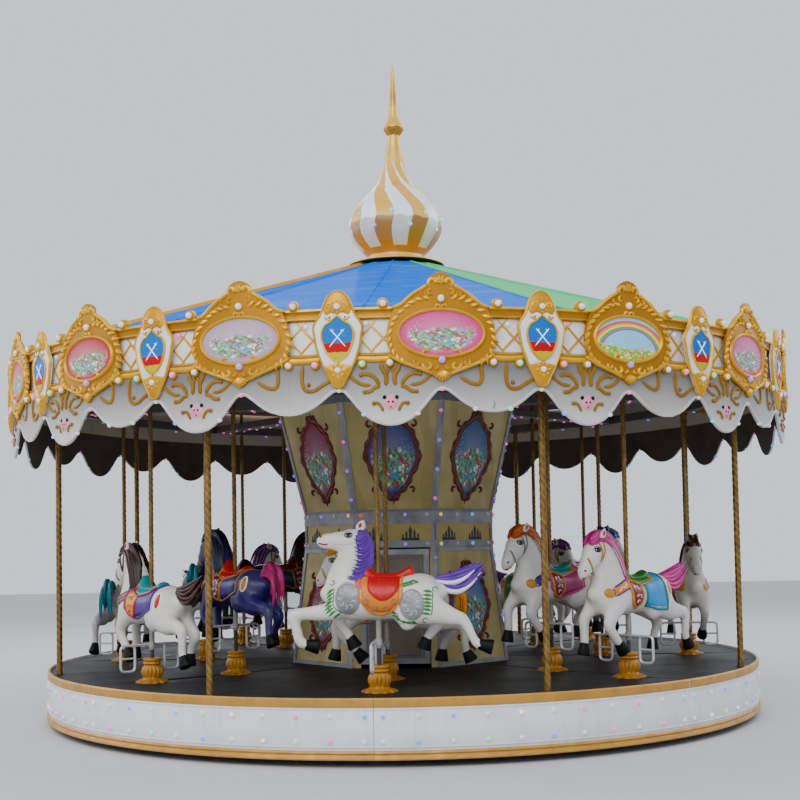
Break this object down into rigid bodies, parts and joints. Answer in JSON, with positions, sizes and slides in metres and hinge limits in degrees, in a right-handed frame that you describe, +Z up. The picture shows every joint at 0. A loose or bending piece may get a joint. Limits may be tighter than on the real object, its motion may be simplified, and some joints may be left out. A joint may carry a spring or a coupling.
{
  "type": "fairground carousel",
  "caption": "Small fairground carousel: turning platform, galloping horses in two rings, centre drum with a door, decorated cornice, low pyramid roof and onion dome.",
  "frame": {"origin": "on the turning axis at ground level, under the hub of the fixed frame", "axes": "+Z up along the turning axis; -Y towards the viewer's side, where the drum's door is; +X to that viewer's right"},
  "size_m": [6.6254, 6.6254, 5.705],
  "materials": {
    "frame_steel": "dark grey paint, dusty",
    "deck_plate": "grey non-slip plate",
    "rim_panel": "white gloss moulding with an ochre-gold band, weathered",
    "twisted_brass": "twisted rope tube, polished and tarnished in the grooves",
    "drum_panel": "painted panels with moulded frames",
    "silver_trim": "silver-grey paint, satin",
    "canopy_steel": "grey painted box section",
    "cornice_gold": "gold and white painted mouldings",
    "drip_white": "white gloss moulding with gold scrolls",
    "roof_skin": "painted sheets in blue, green and cream quarters, rain-streaked",
    "dome_gold": "gold and white swirled stripes",
    "horse_paint": "hand-painted gloss"
  },
  "bodies": {
    "ground_frame": {"ground_frame": "frame_steel"},
    "platform": {"deck": "deck_plate", "rim_panel_1": "rim_panel", "rim_half_panel_a": "rim_panel", "rim_half_panel_b": "rim_panel", "rim_panel_3": "rim_panel", "rim_panel_4": "rim_panel", "rim_panel_5": "rim_panel", "rim_panel_6": "rim_panel", "rim_panel_7": "rim_panel", "rim_panel_8": "rim_panel", "post_1": "twisted_brass", "post_2": "twisted_brass", "post_3": "twisted_brass", "post_4": "twisted_brass", "post_5": "twisted_brass", "post_6": "twisted_brass", "post_7": "twisted_brass", "post_8": "twisted_brass", "drum_lower": "drum_panel", "drum_waist": "silver_trim", "drum_upper": "drum_panel", "canopy_frame": "canopy_steel", "cornice_1": "cornice_gold", "cornice_2": "cornice_gold", "cornice_3": "cornice_gold", "cornice_4": "cornice_gold", "cornice_5": "cornice_gold", "cornice_6": "cornice_gold", "cornice_7": "cornice_gold", "cornice_8": "cornice_gold", "drip_panel_1": "drip_white", "drip_panel_2": "drip_white", "drip_panel_3": "drip_white", "drip_panel_4": "drip_white", "drip_panel_5": "drip_white", "drip_panel_6": "drip_white", "drip_panel_7": "drip_white", "drip_panel_8": "drip_white", "roof": "roof_skin", "onion_dome": "dome_gold", "spire": "dome_gold"},
    "drum_door": {"drum_door": "drum_panel"},
    "outer_horse_1": {"outer_horse_1": "horse_paint"},
    "outer_horse_2": {"outer_horse_2": "horse_paint"},
    "outer_horse_3": {"outer_horse_3": "horse_paint"},
    "outer_horse_4": {"outer_horse_4": "horse_paint"},
    "outer_horse_5": {"outer_horse_5": "horse_paint"},
    "outer_horse_6": {"outer_horse_6": "horse_paint"},
    "outer_horse_7": {"outer_horse_7": "horse_paint"},
    "outer_horse_8": {"outer_horse_8": "horse_paint"},
    "inner_horse_1": {"inner_horse_1": "horse_paint"},
    "inner_horse_2": {"inner_horse_2": "horse_paint"},
    "inner_horse_3": {"inner_horse_3": "horse_paint"},
    "inner_horse_4": {"inner_horse_4": "horse_paint"},
    "inner_horse_5": {"inner_horse_5": "horse_paint"},
    "inner_horse_6": {"inner_horse_6": "horse_paint"},
    "inner_horse_7": {"inner_horse_7": "horse_paint"},
    "inner_horse_8": {"inner_horse_8": "horse_paint"}
  },
  "joints": [
    {"name": "platform_turn", "type": "hinge", "parent": "ground_frame", "child": "platform", "pos_m": [0, 0, 0], "axis": [0, 0, -1], "continuous": true},
    {"name": "drum_door_hinge", "type": "hinge", "parent": "platform", "child": "drum_door", "pos_m": [-0.33784, -0.88544, 0.42], "axis": [-0.0074, -0.1141, -0.9934], "range_deg": [0, 80]},
    {"name": "outer_horse_1_slide", "type": "slide", "parent": "platform", "child": "outer_horse_1", "axis": [0, 0, 1], "range_m": [-0.108, 0.082]},
    {"name": "outer_horse_2_slide", "type": "slide", "parent": "platform", "child": "outer_horse_2", "axis": [0, 0, 1], "range_m": [-0.075, 0.115]},
    {"name": "outer_horse_3_slide", "type": "slide", "parent": "platform", "child": "outer_horse_3", "axis": [0, 0, 1], "range_m": [-0.045, 0.145]},
    {"name": "outer_horse_4_slide", "type": "slide", "parent": "platform", "child": "outer_horse_4", "axis": [0, 0, 1], "range_m": [-0.13, 0.06]},
    {"name": "outer_horse_5_slide", "type": "slide", "parent": "platform", "child": "outer_horse_5", "axis": [0, 0, 1], "range_m": [-0.165, 0.025]},
    {"name": "outer_horse_6_slide", "type": "slide", "parent": "platform", "child": "outer_horse_6", "axis": [0, 0, 1], "range_m": [-0.035, 0.155]},
    {"name": "outer_horse_7_slide", "type": "slide", "parent": "platform", "child": "outer_horse_7", "axis": [0, 0, 1], "range_m": [-0.02, 0.17]},
    {"name": "outer_horse_8_slide", "type": "slide", "parent": "platform", "child": "outer_horse_8", "axis": [0, 0, 1], "range_m": [-0.05, 0.14]},
    {"name": "inner_horse_1_slide", "type": "slide", "parent": "platform", "child": "inner_horse_1", "axis": [0, 0, 1], "range_m": [-0.03, 0.16]},
    {"name": "inner_horse_2_slide", "type": "slide", "parent": "platform", "child": "inner_horse_2", "axis": [0, 0, 1], "range_m": [-0.135, 0.055]},
    {"name": "inner_horse_3_slide", "type": "slide", "parent": "platform", "child": "inner_horse_3", "axis": [0, 0, 1], "range_m": [-0.125, 0.065]},
    {"name": "inner_horse_4_slide", "type": "slide", "parent": "platform", "child": "inner_horse_4", "axis": [0, 0, 1], "range_m": [-0.025, 0.165]},
    {"name": "inner_horse_5_slide", "type": "slide", "parent": "platform", "child": "inner_horse_5", "axis": [0, 0, 1], "range_m": [-0.055, 0.135]},
    {"name": "inner_horse_6_slide", "type": "slide", "parent": "platform", "child": "inner_horse_6", "axis": [0, 0, 1], "range_m": [-0.155, 0.035]},
    {"name": "inner_horse_7_slide", "type": "slide", "parent": "platform", "child": "inner_horse_7", "axis": [0, 0, 1], "range_m": [-0.14, 0.05]},
    {"name": "inner_horse_8_slide", "type": "slide", "parent": "platform", "child": "inner_horse_8", "axis": [0, 0, 1], "range_m": [-0.15, 0.04]}
  ]
}
